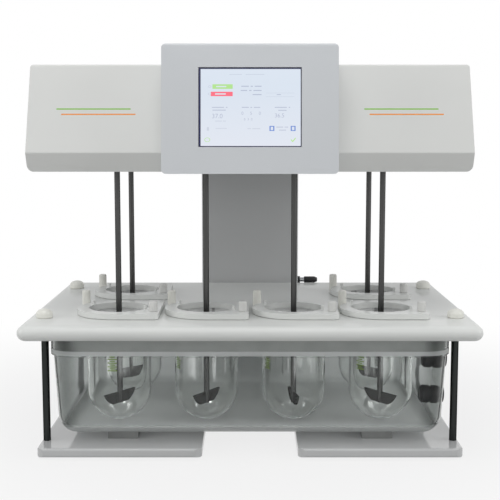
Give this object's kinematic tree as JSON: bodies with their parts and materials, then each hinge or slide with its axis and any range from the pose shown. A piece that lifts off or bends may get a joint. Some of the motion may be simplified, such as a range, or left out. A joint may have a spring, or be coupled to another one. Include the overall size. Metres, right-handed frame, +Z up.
{
  "type": "dissolution tester",
  "caption": "Bench tablet dissolution tester: round-bottomed glass vessels in a white plate over a clear water bath, with paddle stirrers on a lifting motor head with a touch screen.",
  "frame": {"origin": "on the bench under the middle of the footprint", "axes": "+Z up, -Y towards the operator, +X to the operator's right"},
  "size_m": [0.73, 0.625, 0.658],
  "materials": {
    "white_resin": "gloss",
    "pale_paint": "satin",
    "pale_base": "gloss",
    "dark_steel": "satin",
    "bright_steel": "satin",
    "bright_alloy": "satin",
    "tub_clear": "gloss",
    "vessel_glass": "gloss",
    "black_plastic": "matte",
    "black_rubber": "matte",
    "frame_grey": "matte",
    "screen": "gloss",
    "board_green": "satin",
    "pad_white": "matte"
  },
  "bodies": {
    "stand": {"base_frame": "pale_base", "rubber_feet": "black_rubber", "support_posts": "dark_steel", "post_knobs": "white_resin", "bath_tub": "tub_clear", "bath_pads": "pad_white", "bath_fittings": "black_plastic", "bath_frame": "frame_grey", "vessel_plate": "white_resin", "locating_pegs": "white_resin", "column_cover": "pale_paint", "column_back_panel": "pale_paint", "sensor_plug": "black_plastic", "power_inlet": "black_plastic", "slide_pads": "pad_white", "lift_actuator": "dark_steel"},
    "head": {"head_cover": "pale_paint", "head_tray": "bright_alloy", "display_housing": "pale_paint", "display_glass": "screen", "display_module": "black_plastic", "control_board": "board_green", "spindle_bearings": "bright_steel", "drive_motor": "black_plastic", "drive_belt": "black_rubber", "mast": "bright_alloy", "actuator_rod": "bright_steel"},
    "motor_shaft": {"drive_pulley": "bright_alloy"},
    "idler": {"idler_roller": "bright_alloy"},
    "rocker": {"power_switch": "black_plastic"},
    "spindle_1": {"stirrer_1": "dark_steel", "pulley_1": "bright_alloy"},
    "glass_1": {"vessel_1": "vessel_glass"},
    "clamp_1": {"collar_1": "white_resin", "collar_knob_1": "white_resin"},
    "spindle_2": {"stirrer_2": "dark_steel", "pulley_2": "bright_alloy"},
    "glass_2": {"vessel_2": "vessel_glass"},
    "clamp_2": {"collar_2": "white_resin", "collar_knob_2": "white_resin"},
    "spindle_3": {"stirrer_3": "dark_steel", "pulley_3": "bright_alloy"},
    "glass_3": {"vessel_3": "vessel_glass"},
    "clamp_3": {"collar_3": "white_resin", "collar_knob_3": "white_resin"},
    "spindle_4": {"stirrer_4": "dark_steel", "pulley_4": "bright_alloy"},
    "glass_4": {"vessel_4": "vessel_glass"},
    "clamp_4": {"collar_4": "white_resin", "collar_knob_4": "white_resin"},
    "spindle_5": {"stirrer_5": "dark_steel", "pulley_5": "bright_alloy"},
    "glass_5": {"vessel_5": "vessel_glass"},
    "clamp_5": {"collar_5": "white_resin", "collar_knob_5": "white_resin"},
    "spindle_6": {"stirrer_6": "dark_steel", "pulley_6": "bright_alloy"},
    "glass_6": {"vessel_6": "vessel_glass"},
    "clamp_6": {"collar_6": "white_resin", "collar_knob_6": "white_resin"}
  },
  "joints": [
    {"name": "head_lift", "type": "slide", "parent": "stand", "child": "head", "axis": [0, 0, 1], "range_m": [0, 0.19]},
    {"name": "stirrer_turn_1", "type": "hinge", "parent": "head", "child": "spindle_1", "pos_m": [-0.219, -0.1825, 0.3], "axis": [0, 0, 1], "continuous": true},
    {"name": "vessel_lift_1", "type": "slide", "parent": "stand", "child": "glass_1", "axis": [0, 0, 1], "range_m": [0, 0.015]},
    {"name": "collar_lift_1", "type": "slide", "parent": "glass_1", "child": "clamp_1", "axis": [0, 0, 1], "range_m": [0, 0.12]},
    {"name": "stirrer_turn_2", "type": "hinge", "parent": "head", "child": "spindle_2", "pos_m": [-0.073, -0.1825, 0.3], "axis": [0, 0, 1], "continuous": true},
    {"name": "vessel_lift_2", "type": "slide", "parent": "stand", "child": "glass_2", "axis": [0, 0, 1], "range_m": [0, 0.015]},
    {"name": "collar_lift_2", "type": "slide", "parent": "glass_2", "child": "clamp_2", "axis": [0, 0, 1], "range_m": [0, 0.12]},
    {"name": "stirrer_turn_3", "type": "hinge", "parent": "head", "child": "spindle_3", "pos_m": [0.073, -0.1825, 0.3], "axis": [0, 0, 1], "continuous": true},
    {"name": "vessel_lift_3", "type": "slide", "parent": "stand", "child": "glass_3", "axis": [0, 0, 1], "range_m": [0, 0.015]},
    {"name": "collar_lift_3", "type": "slide", "parent": "glass_3", "child": "clamp_3", "axis": [0, 0, 1], "range_m": [0, 0.12]},
    {"name": "stirrer_turn_4", "type": "hinge", "parent": "head", "child": "spindle_4", "pos_m": [0.219, -0.1825, 0.3], "axis": [0, 0, 1], "continuous": true},
    {"name": "vessel_lift_4", "type": "slide", "parent": "stand", "child": "glass_4", "axis": [0, 0, 1], "range_m": [0, 0.015]},
    {"name": "collar_lift_4", "type": "slide", "parent": "glass_4", "child": "clamp_4", "axis": [0, 0, 1], "range_m": [0, 0.12]},
    {"name": "stirrer_turn_5", "type": "hinge", "parent": "head", "child": "spindle_5", "pos_m": [-0.219, 0.0165, 0.3], "axis": [0, 0, 1], "continuous": true},
    {"name": "vessel_lift_5", "type": "slide", "parent": "stand", "child": "glass_5", "axis": [0, 0, 1], "range_m": [0, 0.015]},
    {"name": "collar_lift_5", "type": "slide", "parent": "glass_5", "child": "clamp_5", "axis": [0, 0, 1], "range_m": [0, 0.12]},
    {"name": "stirrer_turn_6", "type": "hinge", "parent": "head", "child": "spindle_6", "pos_m": [0.219, 0.0165, 0.3], "axis": [0, 0, 1], "continuous": true},
    {"name": "vessel_lift_6", "type": "slide", "parent": "stand", "child": "glass_6", "axis": [0, 0, 1], "range_m": [0, 0.015]},
    {"name": "collar_lift_6", "type": "slide", "parent": "glass_6", "child": "clamp_6", "axis": [0, 0, 1], "range_m": [0, 0.12]},
    {"name": "motor_turn", "type": "hinge", "parent": "head", "child": "motor_shaft", "pos_m": [0, 0.0745, 0.52], "axis": [0, 0, 1], "continuous": true},
    {"name": "idler_turn", "type": "hinge", "parent": "head", "child": "idler", "pos_m": [0, -0.2095, 0.52], "axis": [0, 0, 1], "continuous": true},
    {"name": "rocker_tilt", "type": "hinge", "parent": "stand", "child": "rocker", "pos_m": [0.024, 0.2825, 0.04], "axis": [1, 0, 0], "range_deg": [-16, 0]}
  ],
  "couplings": [
    {"joint": "stirrer_turn_2", "follows": "stirrer_turn_1", "ratio": 1},
    {"joint": "stirrer_turn_3", "follows": "stirrer_turn_1", "ratio": 1},
    {"joint": "stirrer_turn_4", "follows": "stirrer_turn_1", "ratio": 1},
    {"joint": "stirrer_turn_5", "follows": "stirrer_turn_1", "ratio": 1},
    {"joint": "stirrer_turn_6", "follows": "stirrer_turn_1", "ratio": 1},
    {"joint": "motor_turn", "follows": "stirrer_turn_1", "ratio": 1.5},
    {"joint": "idler_turn", "follows": "stirrer_turn_1", "ratio": -2}
  ]
}
